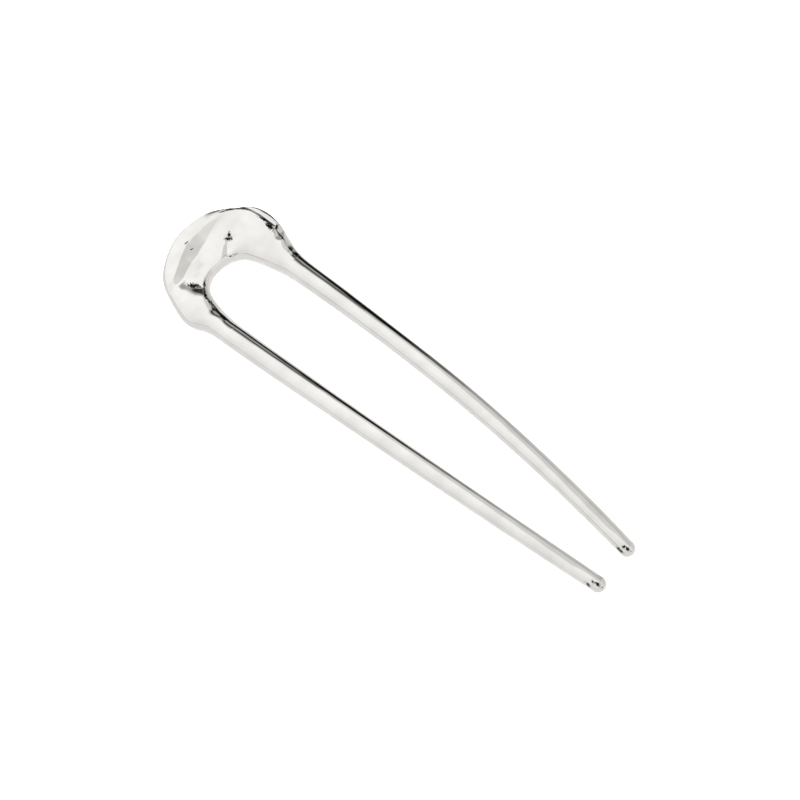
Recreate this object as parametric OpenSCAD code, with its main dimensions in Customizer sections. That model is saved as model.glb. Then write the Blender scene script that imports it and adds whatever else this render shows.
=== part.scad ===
// Two-pronged decorative hair pin: a cast, softly rippled head, two springy prongs
// brazed into blind bores in the head, and a small ball soldered on the end of each
// prong. The pin lies on its back: the head is towards -X, the ball ends are towards
// +X, and the pin arches up between them as it follows the wearer's head. Millimetres.

/* [Pin] */
// Length from the head's outer edge to the ends of the balls
pin_l = 120; // [112:1:128]
// Rise of the arch between the head and the balls
arch_h = 4.8; // [2:0.1:6]

/* [Head] */
// Thickness of the head along its outer rim
head_t = 5.2; // [4.6:0.1:6]
// Squareness of the head's section: 2 is an ellipse, more is boxier
head_square = 2.5; // [2:0.1:4]

/* [Prongs] */
// Distance between the prongs' centre lines at the head
root_spacing = 20.6; // [19:0.2:21.4]
// Distance between the prongs' centre lines at the balls
tip_spacing = 10; // [9:0.1:14]
// Width of a prong at the head
root_w = 5; // [4.6:0.1:5.6]
// Width of a prong behind its ball
tip_w = 3.5; // [3.4:0.1:4]
// Thickness of a prong at the head
root_t = 3.9; // [3.5:0.1:4.4]
// Thickness of a prong behind its ball
tip_t = 3.1; // [2.8:0.1:3.3]
// Squareness of a prong's section: 2 is an ellipse, more is boxier
prong_square = 3; // [2:0.1:4]

/* [Ball ends] */
// Diameter of the ball on each prong
ball_d = 3.6; // [3.4:0.1:4.2]

/* [Joints] */
// Diameter of the spigot that holds a prong in the head
root_spigot_d = 2.4; // [2:0.1:2.6]
// Length of that spigot
root_spigot_l = 5; // [4:0.5:6]
// Diameter of the spigot that holds a ball
tip_spigot_d = 1.4; // [1.2:0.1:1.6]
// Length of that spigot
tip_spigot_l = 1.4; // [1.2:0.1:1.5]

/* [Hidden] */
LEFT = 1;
RIGHT = -1;
silver = [0.88, 0.87, 0.85];

root_play = 0.08;        // radial clearance that lets the sprung prong turn slightly
root_gap = 0.1;          // clearance between the prong's shoulder and the head
solder = 0.03;           // solder film round the ball's spigot
bore_end = 0.2;          // clearance at the bottom of each blind bore
spigot_root = 1.5;       // length of each spigot buried in its own prong

head_l = 24;             // from the head's outer edge to the prongs' roots
ring_n = 20;             // points round a section
prong_steps = 42;        // sections along a prong
head_steps = 4;          // sections between two stations of the head
straight_l = 5;          // stretch of each prong that is parallel to the other
left_bend = 2.15;        // how late each prong turns in after it: 1 is at once, 2 a
right_bend = 1.8;        // parabola; the two were finished by hand and differ a little
neck_l = 0.7;            // stretch over which a prong narrows to its ball
neck_d = 2.9;            // diameter at the end of that stretch

head_z = 2.2;            // mid-thickness height at the head's outer edge
tip_z = ball_d / 2;      // and at the balls
axis_y = -0.9;           // the left shoulder is broader, so the centre line is off-centre

root_x = head_l - pin_l / 2;
ball_x = pin_l / 2 - ball_d / 2;
ball_back = sqrt(pow(ball_d / 2, 2) - pow(neck_d / 2, 2));
neck_x = ball_x - ball_back;

// The head is lofted between these stations, from the left prong's root round to the
// right one's. Each is [inner point, outer point, thickness as a share of head_t], and
// a point is [distance from the head's outer edge, distance left of the centre line].
stations = concat(
    [root_station(LEFT)],
    [
        [[20.5, 7.2], [19.4, 14.5], 0.84],
        [[17, 6.5], [14.8, 16], 0.95],
        [[14, 5.5], [9.8, 15.6], 1],
        [[12.5, 3.3], [5.4, 12.4], 1],
        [[11.9, 1], [1.6, 7.7], 1],
        [[11.7, -1.3], [0, 0.6], 1],
        [[12.2, -3.3], [1.3, -5.2], 1],
        [[13.5, -5.2], [4.2, -9.8], 1],
        [[15.7, -6.3], [9.5, -12.7], 0.97],
        [[18.1, -7], [14.5, -14.2], 0.92],
        [[20.8, -7.5], [19.1, -12.8], 0.84]
    ],
    [root_station(RIGHT)]
);

function root_station(side) = [
    [head_l, side * (root_spacing - root_w) / 2],
    [head_l, side * (root_spacing + root_w) / 2],
    root_t / head_t
];

// Height and slope of the arched surface that runs through mid-thickness
function arch_z(x) =
    (head_z + tip_z) / 2 + (tip_z - head_z) * x / (2 * ball_x)
    + arch_h * (1 - pow(x / ball_x, 2));
function arch_slope(x) =
    (tip_z - head_z) / (2 * ball_x) - 2 * arch_h * x / pow(ball_x, 2);

// The point at height h above the arched surface, square to it, where y is the distance
// left of the centre line
function on_arch(x, y, h) =
    let (m = arch_slope(x), n = sqrt(1 + m * m))
    [x - h * m / n, y + axis_y, arch_z(x) + h / n];

// Distance of a prong's centre line from the pin's, and its slope: straight, then a
// shallow curve towards the other prong
bend_l = ball_x - root_x - straight_l;
function run(x) = max(0, (x - root_x - straight_l) / bend_l);
function bend(side) = side == LEFT ? left_bend : right_bend;
function prong_y(x, side) =
    (root_spacing - (root_spacing - tip_spacing) * pow(run(x), bend(side))) / 2;
function prong_slope(x, side) =
    -(root_spacing - tip_spacing) * bend(side) * pow(run(x), bend(side) - 1) / (2 * bend_l);

// Superellipse: one coordinate of a section point at angle a
function squared(v, power) = sign(v) * pow(abs(v), 2 / power);

// Catmull-Rom value between list items i and i + 1
function at(list, i) = list[max(0, min(len(list) - 1, i))];
function smooth(list, i, f) =
    let (a = at(list, i - 1), b = at(list, i), c = at(list, i + 1), d = at(list, i + 2))
    (2 * b + f * (c - a) + f * f * (2 * a - 5 * b + 4 * c - d)
    + f * f * f * (3 * b - a - 3 * c + d)) / 2;

// Section of the head across station number u, which may lie between two stations
function head_ring(u) =
    let (
        i = min(floor(u), len(stations) - 2),
        f = u - i,
        inner = smooth([for (s = stations) s[0]], i, f),
        outer = smooth([for (s = stations) s[1]], i, f),
        half_t = smooth([for (s = stations) s[2]], i, f) * head_t / 2,
        middle = (inner + outer) / 2,
        half_w = (outer - inner) / 2,
        root = min(1, min(u, len(stations) - 1 - u)),
        power = prong_square + (head_square - prong_square) * root
    )
    [for (k = [0 : ring_n - 1])
        let (
            a = 360 * k / ring_n,
            p = middle + half_w * squared(cos(a), power)
        )
        on_arch(p[0] - pin_l / 2, p[1], half_t * squared(sin(a), power))
    ];

// Section of a prong at x
function prong_ring(x, side) =
    let (
        share = (x - root_x) / (neck_x - root_x),
        neck = pow(max(0, (x - neck_x + neck_l) / neck_l), 2),
        w = root_w + (tip_w - root_w) * share,
        t = root_t + (tip_t - root_t) * share,
        half_w = (w + (neck_d - w) * neck) / 2,
        half_t = (t + (neck_d - t) * neck) / 2,
        power = prong_square + (2 - prong_square) * neck,
        m = prong_slope(x, side),
        n = sqrt(1 + m * m)
    )
    [for (k = [0 : ring_n - 1])
        let (
            a = side * 360 * k / ring_n,
            across = half_w * squared(cos(a), power)
        )
        on_arch(
            x - across * m / n,
            side * (prong_y(x, side) + across / n),
            half_t * squared(sin(a), power)
        )
    ];

// Solid through a list of rings that all have the same number of points
module loft(rings) {
    n = len(rings[0]);
    last = len(rings) - 1;
    polyhedron(
        points = [for (r = rings) each r],
        faces = concat(
            [[for (k = [0 : n - 1]) k]],
            [for (r = [0 : last - 1], k = [0 : n - 1]) let (j = (k + 1) % n)
                [r * n + k, (r + 1) * n + k, (r + 1) * n + j, r * n + j]],
            [[for (k = [n - 1 : -1 : 0]) last * n + k]]
        ),
        convexity = 6
    );
}

// Puts its children on a prong's centre line at x, with their own +X along the prong
module on_prong(x, side) {
    slope = prong_slope(x, side);
    pitch = atan(arch_slope(x) / sqrt(1 + pow(slope, 2)));
    translate(on_arch(x, side * prong_y(x, side), 0))
        rotate([0, -pitch, side * atan(slope)])
            children();
}

// A rod along +X from x1 to x2
module rod(x1, x2, d) {
    translate([x1, 0, 0])
        rotate([0, 90, 0])
            cylinder(h = x2 - x1, d = d, $fn = 48);
}

module head() {
    spans = len(stations) - 1;
    color(silver)
        difference() {
            loft([for (k = [0 : spans * head_steps]) head_ring(k / head_steps)]);
            for (side = [LEFT, RIGHT])
                on_prong(root_x, side)
                    rod(-root_spigot_l - bore_end, 1, root_spigot_d + 2 * root_play);
        }
}

module prong(side) {
    start = root_x + root_gap;
    xs = concat(
        [for (k = [0 : prong_steps - 1])
            start + (neck_x - neck_l - start) * k / (prong_steps - 1)],
        [for (k = [1 : 3]) neck_x - neck_l + neck_l * k / 3]
    );
    color(silver)
        union() {
            loft([for (x = xs) prong_ring(x, side)]);
            on_prong(root_x, side)
                rod(-root_spigot_l, spigot_root, root_spigot_d);
            on_prong(neck_x, side)
                rod(-spigot_root, tip_spigot_l, tip_spigot_d);
        }
}

module ball(side) {
    color(silver)
        on_prong(neck_x, side)
            difference() {
                translate([ball_back, 0, 0])
                    rotate([0, 90, 0])
                        sphere(d = ball_d, $fn = 64);
                translate([solder - ball_d, -ball_d, -ball_d])
                    cube([ball_d, 2 * ball_d, 2 * ball_d]);
                rod(-1, tip_spigot_l + bore_end, tip_spigot_d + 2 * solder);
            }
}

module left_prong() { prong(LEFT); }
module right_prong() { prong(RIGHT); }
module left_tip() { ball(LEFT); }
module right_tip() { ball(RIGHT); }

head();
left_prong();
right_prong();
left_tip();
right_tip();
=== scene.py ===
"""Decorative hair pin: the looks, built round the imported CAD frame.

The head, the two prongs and the two ball ends are fine meshes that stand for the five
CAD nodes. Lengths in this script are millimetres, as in the CAD source, and are turned
into metres when a mesh is made.
"""

import math

import bpy
import numpy as np
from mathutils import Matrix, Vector

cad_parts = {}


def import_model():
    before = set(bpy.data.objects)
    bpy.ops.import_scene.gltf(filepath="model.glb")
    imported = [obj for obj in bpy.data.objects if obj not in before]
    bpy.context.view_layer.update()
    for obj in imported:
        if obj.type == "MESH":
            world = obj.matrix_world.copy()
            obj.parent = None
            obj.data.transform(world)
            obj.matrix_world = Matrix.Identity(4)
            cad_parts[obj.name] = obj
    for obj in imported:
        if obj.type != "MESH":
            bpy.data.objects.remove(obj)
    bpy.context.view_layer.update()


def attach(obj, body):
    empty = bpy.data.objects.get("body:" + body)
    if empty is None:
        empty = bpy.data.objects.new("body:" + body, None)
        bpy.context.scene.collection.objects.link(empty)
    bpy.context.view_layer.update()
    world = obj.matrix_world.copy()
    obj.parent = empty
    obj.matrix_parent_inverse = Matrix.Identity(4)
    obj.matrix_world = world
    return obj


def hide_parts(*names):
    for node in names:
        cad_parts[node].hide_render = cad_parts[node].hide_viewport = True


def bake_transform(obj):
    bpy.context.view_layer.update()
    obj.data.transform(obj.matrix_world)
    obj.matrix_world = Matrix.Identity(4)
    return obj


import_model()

MM = 0.001

# ---------------------------------------------------------------- driving dimensions

PIN_L = 120.0
ARCH_H = 4.8
HEAD_T = 5.2
HEAD_L = 24.0
ROOT_SPACING, TIP_SPACING = 20.6, 10.0
ROOT_W, TIP_W = 5.0, 3.5
ROOT_T, TIP_T = 3.9, 3.1
BALL_D = 3.6
STRAIGHT_L = 5.0
HEAD_Z, TIP_Z = 2.2, BALL_D / 2
AXIS_Y = -0.9

# A prong narrows to this diameter over this length, just before its ball
NECK_D, NECK_L = 3.57, 0.8

ROOT_X = HEAD_L - PIN_L / 2
BALL_X = PIN_L / 2 - BALL_D / 2
BALL_BACK = math.sqrt((BALL_D / 2) ** 2 - (NECK_D / 2) ** 2)
NECK_X = BALL_X - BALL_BACK
BEND_L = BALL_X - ROOT_X - STRAIGHT_L
LEFT, RIGHT = 1, -1
BEND = {LEFT: 2.15, RIGHT: 1.8}
FLARE = 0.3              # extra reach of the left prong's outer side at the head
FLARE_L = 1.8            # and the length over which it fades
ROOT_IN, ROOT_OUT = (ROOT_SPACING - ROOT_W) / 2, (ROOT_SPACING + ROOT_W) / 2

# Head stations from the left root to the right root: inner point, outer point, thickness
# as a share of HEAD_T, crest of the section, squareness of its inner and outer halves.
# A point is [distance from the head's outer edge, distance left of the centre line].
STATIONS = [
    [[HEAD_L, ROOT_IN], [HEAD_L, ROOT_OUT + FLARE], ROOT_T / HEAD_T, -0.3, 2.4, 2.0],
    [[22.3, 7.6], [22.4, 13.4], 0.78, -0.3, 2.5, 2.1],
    [[20.5, 7.2], [19.4, 14.5], 0.84, -0.25, 2.6, 2.7],
    [[17, 6.5], [14.8, 16], 0.95, -0.1, 2.6, 8.0],
    [[14, 5.5], [9.8, 15.6], 1.0, 0.0, 3.0, 16.0],
    [[12.5, 3.3], [5.4, 12.4], 1.0, 0.0, 3.8, 20.0],
    [[11.9, 1], [1.6, 7.7], 1.0, 0.0, 4.5, 16.0],
    [[11.7, -1.3], [0, 0.6], 1.0, 0.0, 4.5, 8.0],
    [[12.2, -3.3], [1.3, -5.2], 1.0, 0.0, 4.0, 5.0],
    [[13.5, -5.2], [4.2, -9.8], 1.0, 0.0, 3.0, 3.5],
    [[15.7, -6.3], [9.5, -12.7], 0.97, -0.05, 2.3, 2.8],
    [[18.1, -7], [14.5, -14.2], 0.92, 0.05, 2.0, 2.3],
    [[20.8, -7.5], [19.1, -12.8], 0.84, 0.15, 2.0, 2.3],
    [[HEAD_L, -ROOT_IN], [HEAD_L, -ROOT_OUT], ROOT_T / HEAD_T, 0.2, 2.0, 2.4],
]
# Crest and squareness, inside and outside, of each prong's section, at its root and tip
PRONG_SHAPE = {
    LEFT: [(-0.3, 2.4, 2.0), (-0.25, 2.4, 2.7)],
    RIGHT: [(0.2, 2.0, 2.4), (0.1, 2.5, 2.4)],
}
# How much each prong's half width is waisted, how far it bows inwards, where along X both
# are largest, and how far along they spread
WAIST = {LEFT: 0.15, RIGHT: 0.03}
BOW = {LEFT: 0.18, RIGHT: 0.05}
BOW_X, BOW_SPREAD = -12, 17
SWELL_L = 6              # stretch over which a prong's section turns round before its neck
UNDER_SQUARE = 2.5       # most squareness of any section's under side

HEAD_RINGS, HEAD_RING_N = 361, 160
PRONG_RINGS, PRONG_RING_N = 260, 72
BALL_RINGS, BALL_RING_N = 32, 48
OUTLINE_N = 721          # points of a section before it is evenly spaced
OVERLAP = 1.0            # how far a prong's mesh runs on inside the head
OVERLAP_SCALE = 0.995    # and its size there, so that it stays under the head's surface


# ---------------------------------------------------------------- shape of the pin

def arch_z(x):
    return (
        (HEAD_Z + TIP_Z) / 2
        + (TIP_Z - HEAD_Z) * x / (2 * BALL_X)
        + ARCH_H * (1 - (x / BALL_X) ** 2)
    )


def arch_slope(x):
    return (TIP_Z - HEAD_Z) / (2 * BALL_X) - 2 * ARCH_H * x / BALL_X**2


def on_arch(x, y, h):
    """Points at height h above the arched surface, y left of the centre line."""
    m = arch_slope(x)
    n = np.sqrt(1 + m * m)
    return np.stack([x - h * m / n, y + AXIS_Y, arch_z(x) + h / n], axis=-1)


def run(x):
    return np.maximum(0, (x - ROOT_X - STRAIGHT_L) / BEND_L)


def prong_y(x, side):
    return (ROOT_SPACING - (ROOT_SPACING - TIP_SPACING) * run(x) ** BEND[side]) / 2


def prong_slope(x, side):
    bend = BEND[side]
    return -(ROOT_SPACING - TIP_SPACING) * bend * run(x) ** (bend - 1) / (2 * BEND_L)


def smooth_step(t):
    t = np.clip(t, 0, 1)
    return t * t * (3 - 2 * t)


def spline(values, u):
    """Catmull-Rom through values (one row per station) at the station numbers u."""
    values = np.asarray(values, float)
    last = len(values) - 1
    i = np.clip(np.floor(u).astype(int), 0, last - 1)
    f = (u - i).reshape((-1,) + (1,) * (values.ndim - 1))
    a, b, c, d = (values[np.clip(i + k, 0, last)] for k in (-1, 0, 1, 2))
    return (
        2 * b
        + f * (c - a)
        + f**2 * (2 * a - 5 * b + 4 * c - d)
        + f**3 * (3 * b - a - 3 * c + d)
    ) / 2


def section(half_w, half_t, crest, square_in, square_out, n):
    """Closed rounded section as (across, height), evenly spaced, outer side first.

    The crest is where the section is thickest, as a share of half_w from its middle.
    """
    a = np.linspace(0, 2 * math.pi, OUTLINE_N)
    outside = np.cos(a) > 0
    power = np.where(outside, square_out, square_in)
    power = np.where(np.sin(a) < 0, np.minimum(power, UNDER_SQUARE), power)
    reach = half_w * np.where(outside, 1 - crest, 1 + crest)
    across = crest * half_w + reach * np.sign(np.cos(a)) * np.abs(np.cos(a)) ** (2 / power)
    height = half_t * np.sign(np.sin(a)) * np.abs(np.sin(a)) ** (2 / power)
    step = np.hypot(np.diff(across), np.diff(height))
    length = np.concatenate([[0], np.cumsum(step)])
    at = np.linspace(0, length[-1], n, endpoint=False)
    return np.interp(at, length, across), np.interp(at, length, height)


# ---------------------------------------------------------------- relief of the head

# Each path is a list of [distance from the head's outer edge, distance left of the
# centre line], as the stations are.

# The long hollow, at distances left of the centre line: where its slope starts and ends,
# as distances from the head's outer edge, and how deep it is
HOLLOW_L = [11, 9, 7, 5, 3, 0, -3, -5, -7, -9.2, -16]
HOLLOW_OUT = [5.0, 4.5, 3.8, 3.4, 3.1, 3.0, 4.0, 4.9, 5.6, 6.3, 7.4]
HOLLOW_IN = [5.0, 5.3, 5.2, 5.4, 5.9, 6.5, 6.7, 7.2, 7.8, 7.8, 7.4]
HOLLOW_DROP = [0, 0.43, 0.8, 1.1, 1.3, 1.35, 1.22, 1.08, 0.9, 0.66, 0]
HOLLOW_LIP_L, HOLLOW_LIP = 2.4, 0.15     # rise before the slope, as a share of the drop
HOLLOW_BACK_L, HOLLOW_BACK = 6.0, 0.5    # way up after it, as a share of the drop
HOLLOW_SHIFTS = np.linspace(-0.3, 0.3, 9)    # averaged over, to round its edges

# The ledge: its path, its wall's width and depth, what is added where it is deepest, and
# the share of the way along at which that is
LEDGE = [
    [4.2, 9.4], [6.2, 12.4], [8.4, 13.8],
    [10.5, 14.2], [13, 14.3], [15.5, 14.2], [17.5, 13.6],
]
LEDGE_W, LEDGE_DEPTH = 0.4, 0.2
DEEP_W, DEEP_DEPTH, DEEP_AT, DEEP_SPREAD = 0.3, 0.12, 0.75, 0.1
BEAD = 0.75              # how much of the depth the bead outside the wall regains
LEDGE_REACH = 4          # and how far from its path the ledge has any effect

# Shallow dents: centre, turn in degrees, half length, half width, depth
DENTS = [
    [(10.9, -6.9), 30, 1.6, 0.8, 0.15],
    [(9.6, 6.4), 20, 0.7, 0.5, 0.35],
    [(10.9, 4.6), -62, 1.6, 0.8, 0.65],
    [(12.5, 3.7), 58, 0.9, 0.35, 0.2],
]

# The facet by the left root: a point on it, its height there and its fall away from the
# outer edge and from the centre line. It rises again beyond FACET_START and FACET_END.
FACET_E, FACET_L, FACET_H = 18.6, 12.6, 2.16
FACET_FALL_E, FACET_FALL_L = 0.07, 0.23
FACET_START, FACET_END, FACET_RISE = 17.6, 20.4, 0.15


def beside(e, l, path):
    """Signed distance left of a smooth path, and the share of the way along it."""
    u = np.linspace(0, len(path) - 1, 24 * len(path))
    line = spline(path, u)
    ahead = np.gradient(line, axis=0)
    ahead /= np.linalg.norm(ahead, axis=1)[:, None]
    away = np.stack([e, l], axis=-1)[:, None, :] - line[None]
    near = np.argmin((away ** 2).sum(axis=2), axis=1)
    off = away[np.arange(len(e)), near]
    side = ahead[near, 0] * off[:, 1] - ahead[near, 1] * off[:, 0]
    return np.hypot(off[:, 0], off[:, 1]) * np.sign(side), u[near] / u[-1]


def local(e, l, centre, turn):
    """Coordinates along and across a feature that is turned by turn degrees."""
    c, s = math.cos(math.radians(turn)), math.sin(math.radians(turn))
    de, dl = e - centre[0], l - centre[1]
    return de * c + dl * s, dl * c - de * s


def dent(e, l, centre, turn, half_l, half_w, depth):
    p, q = local(e, l, centre, turn)
    return -depth * np.exp(-0.5 * ((p / half_l) ** 2 + (q / half_w) ** 2))


def hollow(e, l):
    """Long hollow behind the outer rim: a flat slope down, then a gentle way up."""
    out = np.interp(l, HOLLOW_L[::-1], HOLLOW_OUT[::-1])
    inn = np.interp(l, HOLLOW_L[::-1], HOLLOW_IN[::-1])
    drop = np.interp(l, HOLLOW_L[::-1], HOLLOW_DROP[::-1])
    total = 0
    for shift in HOLLOW_SHIFTS:
        x = e + shift
        rise = np.clip((x - out + HOLLOW_LIP_L) / HOLLOW_LIP_L, 0, 1)
        fall = np.clip((x - out) / np.maximum(0.01, inn - out), 0, 1)
        back = np.clip((x - inn) / HOLLOW_BACK_L, 0, 1)
        total = total + drop * (HOLLOW_LIP * rise - fall + HOLLOW_BACK * back)
    return total / len(HOLLOW_SHIFTS)


def ledge(e, l):
    """Groove along the far upper edge, with a rounded bead outside it."""
    d, share = beside(e, l, LEDGE)
    ends = smooth_step(share / 0.12) * smooth_step((1 - share) / 0.08)
    deep = np.exp(-((share - DEEP_AT) / DEEP_SPREAD) ** 2)
    wall_w, depth = LEDGE_W + DEEP_W * deep, LEDGE_DEPTH + DEEP_DEPTH * deep
    wall = np.clip((d - 0.35 + wall_w) / wall_w, 0, 1)
    bead = smooth_step((d - 0.4) / 0.5)
    return ends * depth * (BEAD * bead - wall) * (np.abs(d) < LEDGE_REACH)


def ripple(e, l):
    """Faint waves of the casting, all over."""
    return (
        0.035 * np.sin(0.9 * e + 0.35 * l + 0.6) * np.sin(0.55 * l - 0.3 * e + 1.1)
        + 0.010 * np.sin(1.9 * e - 0.8 * l + 2.0)
    )


def relief(e, l):
    """Height of the head's cast relief above its lofted top."""
    h = ripple(e, l) + hollow(e, l) + ledge(e, l)
    for values in DENTS:
        h = h + dent(e, l, *values)
    return h


def cut(e, l, height):
    """Flat facet on the outside of the left root."""
    ends = FACET_RISE * (np.maximum(0, FACET_START - e) + np.maximum(0, e - FACET_END))
    facet = FACET_H - FACET_FALL_E * (e - FACET_E) - FACET_FALL_L * (l - FACET_L) + ends
    return np.minimum(height, facet)


# ---------------------------------------------------------------- meshes

def loft(name, rings, flip=False):
    """A closed mesh through rings of equally many points, in millimetres."""
    count, n = len(rings), len(rings[0])
    verts = (np.concatenate(rings) * MM).tolist()
    faces = []
    for r in range(count - 1):
        for k in range(n):
            j = (k + 1) % n
            faces.append((r * n + k, r * n + j, (r + 1) * n + j, (r + 1) * n + k))
    first = len(verts)
    verts += verts[:n] + verts[(count - 1) * n:count * n]
    faces.append(tuple(range(first + n - 1, first - 1, -1)))
    faces.append(tuple(range(first + n, first + 2 * n)))
    if flip:
        faces = [face[::-1] for face in faces]
    mesh = bpy.data.meshes.new(name)
    mesh.from_pydata(verts, [], faces)
    mesh.validate()
    mesh.shade_smooth()
    piece = bpy.data.objects.new(name, mesh)
    bpy.context.scene.collection.objects.link(piece)
    return piece


def make_head():
    rings = []
    u = np.linspace(0, len(STATIONS) - 1, HEAD_RINGS)
    inner = spline([s[0] for s in STATIONS], u)
    outer = spline([s[1] for s in STATIONS], u)
    shape = spline([s[2:] for s in STATIONS], u)
    for i in range(len(u)):
        middle, half = (inner[i] + outer[i]) / 2, (outer[i] - inner[i]) / 2
        half_w, half_t = np.linalg.norm(half), shape[i, 0] * HEAD_T / 2
        across, height = section(half_w, half_t, *shape[i, 1:], HEAD_RING_N)
        points = middle + np.outer(across / half_w, half)
        e, l = points[:, 0], points[:, 1]
        top = smooth_step(height / half_t / 0.5)
        bottom = smooth_step(-height / half_t / 0.5)
        root = smooth_step(min(u[i], len(STATIONS) - 1 - u[i]) / 0.8)
        height = cut(e, l, height + root * (top * relief(e, l) + bottom * ripple(l, e)))
        rings.append(on_arch(e - PIN_L / 2, l, height))
    return loft("head_shell", rings)


def wave(x, seed):
    """Slight waviness left by hand polishing."""
    return (
        0.010 * np.sin(x / 2.3 + seed)
        + 0.005 * np.sin(x / 0.9 + 2.1 * seed)
        + 0.018 * np.sin(x / 6.1 + 0.7 * seed)
    )


def make_prong(side, name):
    """A tapering prong on the arched surface, from just inside the head to its ball."""
    xs = np.concatenate([
        np.linspace(ROOT_X - OVERLAP, ROOT_X, 6)[:-1],
        np.linspace(ROOT_X, NECK_X - NECK_L, PRONG_RINGS)[:-1],
        np.linspace(NECK_X - NECK_L, NECK_X, 10),
    ])
    rings = []
    for x in xs:
        share = max(0.0, (x - ROOT_X) / (NECK_X - ROOT_X))
        neck = max(0.0, (x - NECK_X + NECK_L) / NECK_L) ** 2
        swell = smooth_step((x - NECK_X + SWELL_L) / SWELL_L)
        middle = math.exp(-((x - BOW_X) / BOW_SPREAD) ** 2)
        half_w = (ROOT_W + (TIP_W - ROOT_W) * share) / 2
        half_w -= WAIST[side] * middle
        y = prong_y(x, side) - BOW[side] * middle
        half_t = (ROOT_T + (TIP_T - ROOT_T) * share) / 2
        half_w += (NECK_D / 2 - half_w) * neck
        half_t += (NECK_D / 2 - half_t) * swell
        flare = FLARE / 2 if side == LEFT else 0
        flare *= math.exp(-max(0.0, x - ROOT_X) / FLARE_L)
        at_root, at_tip = (np.array(values) for values in PRONG_SHAPE[side])
        shape = at_root + (at_tip - at_root) * share
        shape = shape + ((0, 2, 2) - shape) * swell
        across, height = section(half_w + flare, half_t, *shape, PRONG_RING_N)
        across = across + flare
        shrink = OVERLAP_SCALE if x < ROOT_X else 1.0
        loose = smooth_step((x - ROOT_X) / 3) * smooth_step((NECK_X - x) / 3)
        turn = np.arctan2(height, across)
        height = height + loose * wave(x + 1.3 * np.sin(turn), side + 2.0) * np.sin(turn)
        m = prong_slope(x, side)
        length = math.sqrt(1 + m * m)
        rings.append(on_arch(
            x - across * shrink * m / length,
            side * (y + across * shrink / length),
            height * shrink,
        ))
    return loft(name, rings, flip=side == LEFT)


def make_tip(side, name):
    """The ball on a prong's end, cut flat where the two meet."""
    rings = []
    m = prong_slope(NECK_X, side)
    length = math.sqrt(1 + m * m)
    for angle in np.linspace(math.acos(-BALL_BACK / (BALL_D / 2)), 0.02, BALL_RINGS):
        along = BALL_BACK + math.cos(angle) * BALL_D / 2
        radius = math.sin(angle) * BALL_D / 2
        a = np.linspace(0, 2 * math.pi, BALL_RING_N, endpoint=False)
        across, height = radius * np.cos(a), radius * np.sin(a)
        rings.append(on_arch(
            NECK_X + (along - across * m) / length,
            side * (prong_y(NECK_X, side) + (across + along * m) / length),
            height,
        ))
    return loft(name, rings, flip=side == LEFT)


# ---------------------------------------------------------------- material

def add(tree, kind, **inputs):
    """A new node, with values set on its sockets, whose names have _ for a space."""
    node = tree.nodes.new(kind)
    for key, value in inputs.items():
        node.inputs[key.replace("_", " ")].default_value = value
    return node


def feed(tree, socket, value):
    """Links an output to a socket, or sets a plain value on it."""
    if isinstance(value, bpy.types.NodeSocket):
        tree.links.new(value, socket)
    else:
        socket.default_value = value


def calculate(tree, operation, *values):
    node = tree.nodes.new("ShaderNodeMath")
    node.operation = operation
    for socket, value in zip(node.inputs, values):
        feed(tree, socket, value)
    return node.outputs["Value"]


def ramp(tree, value, start, end, low=0.0, high=1.0, smooth=False):
    """Goes from low to high as value goes from start to end."""
    node = add(
        tree, "ShaderNodeMapRange",
        From_Min=start, From_Max=end, To_Min=low, To_Max=high,
    )
    if smooth:
        node.interpolation_type = "SMOOTHSTEP"
    feed(tree, node.inputs["Value"], value)
    return node.outputs["Result"]


def mix_colours(tree, share, first, second):
    node = tree.nodes.new("ShaderNodeMix")
    node.data_type = "RGBA"
    feed(tree, node.inputs["Factor"], share)
    for key, value in (("A", first), ("B", second)):
        socket = [x for x in node.inputs if x.name == key and x.type == "RGBA"][0]
        feed(tree, socket, value)
    return [x for x in node.outputs if x.type == "RGBA"][0]


# Pits and creases of the head painted near black, a painted dark reflection, as [distance
# from the head's outer edge, distance left of the centre line], turn, half length, half
# width
PAINTED_REFLECTION_SPOTS = [
    [(9.6, 6.4), 20, 0.9, 0.6],
    [(9.2, 6.9), -50, 0.9, 0.35],
    [(9.1, 6.0), 60, 0.7, 0.3],
    [(12.5, 3.8), 58, 1.4, 0.3],
    [(10.8, -6.9), 30, 1.75, 0.75],
    [(12.4, -5.3), -56, 1.7, 0.32],
    [(14.1, -7.1), -30, 1.5, 0.38],
    [(16.4, -7.8), -14, 2.4, 0.38],
    [(15.0, 13.6), -12, 1.5, 0.6],
    [(13.0, 14.1), 5, 1.6, 0.3],
    [(16.3, 14.4), -62, 0.9, 0.35],
    [(18.3, 13.4), -14, 2.0, 0.25],
    [(3.1, -0.1), 80, 0.6, 0.14],
    [(4.9, -0.4), 70, 0.5, 0.12],
]
REFLECTION_SPOT_REACH = 2.0        # half height of each of those spots
# The same painted dark reflections on each ball: centre from the ball's own centre, and
# half sizes, along x, y, z
BALL_REFLECTION_SPOTS = {
    LEFT: [
        [(-0.45, -0.7, 1.6), (0.45, 0.36, 0.6)],
        [(0.45, -0.6, 1.6), (0.55, 0.42, 0.6)],
        [(1.2, -0.45, 1.2), (0.18, 0.15, 0.3)],
        [(-0.9, -1.6, 0.9), (1.0, 0.3, 0.6)],
    ],
    RIGHT: [
        [(-0.8, -0.7, 1.5), (0.6, 0.42, 0.6)],
        [(0.25, -0.6, 1.65), (0.65, 0.45, 0.6)],
        [(1.3, -0.45, 1.1), (0.16, 0.13, 0.3)],
        [(-1.6, -1.65, 0.8), (1.0, 0.26, 0.6)],
    ],
}


CLOUDY_SILVER = (0.85, 0.835, 0.81, 1)
BRIGHT_SILVER = (0.93, 0.92, 0.9, 1)
# Near black painted into the colour as dark reflections
PAINTED_REFLECTION_DARK = (0.012, 0.011, 0.01, 1)


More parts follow.
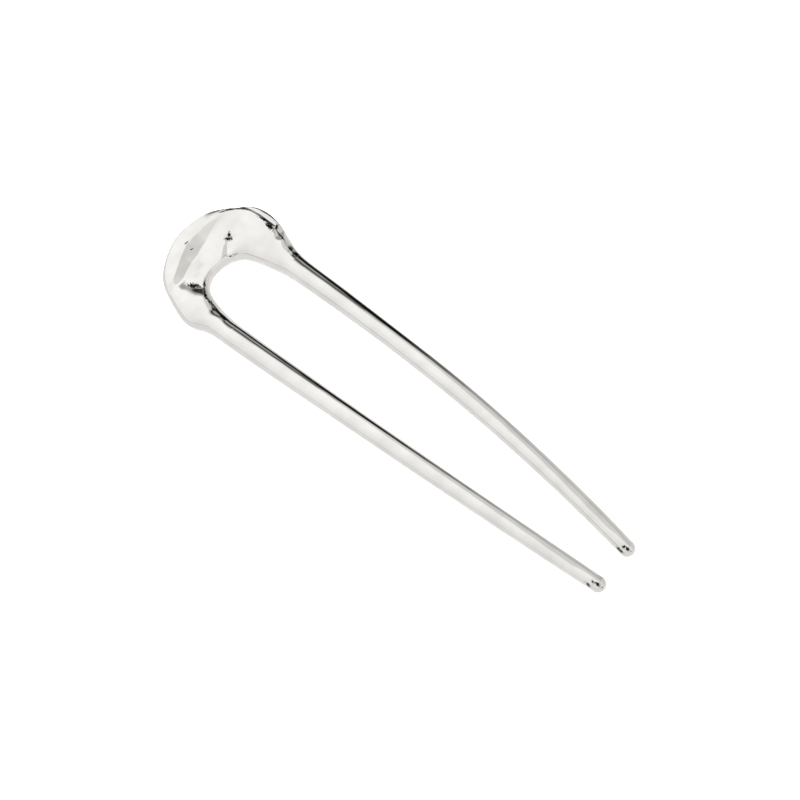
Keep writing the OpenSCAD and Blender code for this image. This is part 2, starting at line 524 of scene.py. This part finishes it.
def silver():
    """Bright plating: faint clouds, fine scratches, and painted dark reflections in the
    pits and on the balls.
    """
    material = bpy.data.materials.new("silver_plate")
    material.use_nodes = True
    tree = material.node_tree
    link = tree.links.new
    place = tree.nodes.new("ShaderNodeTexCoord").outputs["Object"]

    def noise(scale, detail, vector=place):
        node = add(tree, "ShaderNodeTexNoise", Scale=scale, Detail=detail, Roughness=0.6)
        link(vector, node.inputs["Vector"])
        return node.outputs["Fac"]

    def fuzzy_spot(centre, half, turn):
        node = tree.nodes.new("ShaderNodeMapping")
        node.vector_type = "TEXTURE"
        node.inputs["Location"].default_value = [c * MM for c in centre]
        node.inputs["Rotation"].default_value = (0, 0, math.radians(turn))
        node.inputs["Scale"].default_value = [h * MM for h in half]
        link(place, node.inputs["Vector"])
        length = tree.nodes.new("ShaderNodeVectorMath")
        length.operation = "LENGTH"
        link(node.outputs["Vector"], length.inputs[0])
        rough = calculate(tree, "ADD", length.outputs["Value"], ragged)
        return ramp(tree, rough, 0.6, 1.12, 1.0, 0.0)

    ragged = ramp(tree, noise(2600, 3), 0.3, 0.7, -0.45, 0.45)
    # Mask of the painted dark reflections: ragged spots on the head and on each ball
    spots = []
    for (e, l), turn, half_l, half_w in PAINTED_REFLECTION_SPOTS:
        centre = on_arch(e - PIN_L / 2, l, HEAD_T / 2)
        spots.append(fuzzy_spot(centre, (half_l, half_w, REFLECTION_SPOT_REACH), turn))
    for side in (LEFT, RIGHT):
        ball = on_arch(BALL_X, side * TIP_SPACING / 2, 0)
        for offset, half in BALL_REFLECTION_SPOTS[side]:
            spots.append(fuzzy_spot(ball + np.array(offset), half, 0))
    painted_reflection = spots[0]
    for spot in spots[1:]:
        painted_reflection = calculate(tree, "MAXIMUM", painted_reflection, spot)

    clouds = ramp(tree, noise(170, 2), 0.35, 0.65)
    bright = mix_colours(tree, clouds, CLOUDY_SILVER, BRIGHT_SILVER)
    colour = mix_colours(tree, painted_reflection, bright, PAINTED_REFLECTION_DARK)
    gloss = ramp(tree, noise(900, 5), 0.3, 0.7, 0.035, 0.11)
    dull = ramp(tree, painted_reflection, 0.0, 1.0, 0.0, 0.3)

    along = tree.nodes.new("ShaderNodeMapping")
    along.inputs["Rotation"].default_value = (0, 0, math.radians(14))
    along.inputs["Scale"].default_value = (0.08, 1.0, 1.0)
    link(place, along.inputs["Vector"])
    scratches = noise(5200, 4, along.outputs["Vector"])
    bump = add(tree, "ShaderNodeBump", Strength=0.12, Distance=0.00001)
    height = calculate(tree, "ADD", scratches, noise(1400, 3))
    link(height, bump.inputs["Height"])

    shader = tree.nodes["Principled BSDF"]
    shader.inputs["Metallic"].default_value = 1.0
    link(colour, shader.inputs["Base Color"])
    link(calculate(tree, "ADD", gloss, dull), shader.inputs["Roughness"])
    link(bump.outputs["Normal"], shader.inputs["Normal"])
    return material


# ---------------------------------------------------------------- stage

THETA = math.radians(38.56)      # turn of the pin in the picture
ELEVATION = math.radians(69.5)   # camera above the horizon
DISTANCE = 750.0                 # from the camera to what it aims at
LENS = 158.3                     # focal length

RIGHTWARD = Vector((math.cos(THETA), math.sin(THETA), 0))
AWAY = Vector((-math.sin(THETA), math.cos(THETA), 0))


def camera():
    data = bpy.data.cameras.new("camera")
    data.sensor_width = 36.0
    data.lens = LENS
    data.clip_start, data.clip_end = 0.01, 20
    piece = bpy.data.objects.new("camera", data)
    bpy.context.scene.collection.objects.link(piece)
    bpy.context.scene.camera = piece
    aim = (RIGHTWARD * 0.54 + AWAY * 0.70) * MM
    back = -AWAY * math.cos(ELEVATION) + Vector((0, 0, math.sin(ELEVATION)))
    piece.location = aim + back * DISTANCE * MM
    piece.rotation_mode = "QUATERNION"
    piece.rotation_quaternion = (-back).to_track_quat("-Z", "Y")


# Azimuths where the dark gap and what is above it fade in
LEFT_END = (-26, -16)


def world():
    """Big soft panel overhead, with a dark gap low on the far side of the set.

    Azimuth is 0 away from the camera and grows to the right; both it and height are in
    degrees. Later layers cover earlier ones.
    """
    scene_world = bpy.data.worlds.new("studio")
    bpy.context.scene.world = scene_world
    scene_world.use_nodes = True
    tree = scene_world.node_tree
    link = tree.links.new
    direction = add(tree, "ShaderNodeTexCoord").outputs["Generated"]

    def toward(axis):
        node = add(tree, "ShaderNodeVectorMath")
        node.operation = "DOT_PRODUCT"
        link(direction, node.inputs[0])
        node.inputs[1].default_value = axis
        return node.outputs["Value"]

    def fade(value, start, end):
        return ramp(tree, value, start, end, smooth=True)

    def linear(value, start, end):
        return ramp(tree, value, start, end)

    def mix(share, first, second):
        return mix_colours(tree, share, first, second)

    def grey(level, warm=0.02):
        return (level, level * (1 - warm / 3), level * (1 - warm), 1)

    def band(value, start, full, last, end):
        """1 between full and last, fading to 0 at start and at end, in degrees."""
        return times(fade(value, start, full), fade(value, end, last))

    def times(first, second):
        return calculate(tree, "MULTIPLY", first, second)

    across, away, up = toward(RIGHTWARD), toward(AWAY), toward((0, 0, 1))
    azimuth = times(calculate(tree, "ARCTAN2", across, away), math.degrees(1))
    height = times(calculate(tree, "ARCSINE", up), math.degrees(1))

    # Panel overhead, dimmer towards the camera's side, and the grey beyond its edges
    panel = mix(linear(away, 0.45, -0.75), grey(1.0, 0.01), grey(0.83, 0.015))
    beyond = mix(linear(azimuth, 12, 22), grey(0.35, 0.02), grey(0.64, 0.03))
    far_edge = times(fade(height, 49, 42), band(azimuth, *LEFT_END, 96, 104))
    light = mix(far_edge, panel, beyond)
    right_edge = fade(calculate(tree, "MULTIPLY_ADD", up, -0.25, across), 0, 0.06)
    right_edge = times(right_edge, band(azimuth, 14, 20, 135, 155))
    right_grey = mix(linear(azimuth, 55, 80), grey(0.68, 0.03), grey(0.82, 0.04))
    light = mix(right_edge, light, right_grey)
    low_right = times(fade(height, 35, 31), band(azimuth, 24, 36, 92, 110))
    low_grey = mix(linear(azimuth, 36, 52), grey(0.54, 0.03), grey(0.66, 0.03))
    light = mix(low_right, light, low_grey)

    # Floor of the set, with a darker seam where it meets the backdrop
    light = mix(fade(height, 6, 2), light, grey(0.64, 0.03))
    light = mix(fade(height, -2, -7), light, grey(0.79, 0.02))

    # Gap on the far side, with a pale strip and the panel's dark frame above it
    gap = times(band(height, -14, -5, 31, 36), band(azimuth, *LEFT_END, 24, 38))
    light = mix(gap, light, grey(0.006))
    strip = times(band(height, 17, 21, 31, 34), band(azimuth, *LEFT_END, 15, 19))
    light = mix(strip, light, grey(0.36))
    turned = calculate(tree, "SUBTRACT", azimuth, 38)
    raised = calculate(tree, "MAXIMUM", times(turned, 0.5), 0)
    level = calculate(tree, "SUBTRACT", height, raised)
    near_line = times(band(level, 32, 34, 38, 41), band(azimuth, *LEFT_END, 14, 20))
    light = mix(near_line, light, grey(0.02))
    far_line = times(band(level, 32, 34, 38, 40), band(azimuth, 32, 38, 80, 90))
    light = mix(far_line, light, grey(0.30, 0.03))

    scenery = tree.nodes["Background"]
    link(light, scenery.inputs["Color"])


def lamp():
    """Soft light for the floor alone, so the metal shows only the panel."""
    data = bpy.data.lights.new("soft_box", "AREA")
    data.shape = "SQUARE"
    data.size = 1.2
    data.energy = 45.0
    piece = bpy.data.objects.new("soft_box", data)
    bpy.context.scene.collection.objects.link(piece)
    piece.location = (0, 0, 1.2)
    piece.visible_glossy = False
    piece.visible_camera = False


def floor():
    mesh = bpy.data.meshes.new("floor")
    half = 3.0
    corners = [(-half, -half, 0), (half, -half, 0), (half, half, 0), (-half, half, 0)]
    mesh.from_pydata(corners, [], [(0, 1, 2, 3)])
    piece = bpy.data.objects.new("floor", mesh)
    bpy.context.scene.collection.objects.link(piece)
    piece.visible_glossy = False
    material = bpy.data.materials.new("floor")
    material.use_nodes = True
    shader = material.node_tree.nodes["Principled BSDF"]
    shader.inputs["Base Color"].default_value = (0.92, 0.92, 0.92, 1)
    shader.inputs["Roughness"].default_value = 0.8
    mesh.materials.append(material)


camera()
world()
lamp()
floor()
bpy.context.scene.view_settings.view_transform = "Standard"

plate = silver()
head = make_head()
prongs = {
    LEFT: make_prong(LEFT, "left_prong_shell"),
    RIGHT: make_prong(RIGHT, "right_prong_shell"),
}
tips = {
    LEFT: make_tip(LEFT, "left_ball"),
    RIGHT: make_tip(RIGHT, "right_ball"),
}
for piece in [head, *prongs.values(), *tips.values()]:
    piece.data.materials.append(plate)

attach(head, "head")
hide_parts("head")
for side, body in ((LEFT, "left_prong"), (RIGHT, "right_prong")):
    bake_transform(prongs[side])
    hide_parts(body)
    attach(tips[side], body)
    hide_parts(body.replace("prong", "tip"))
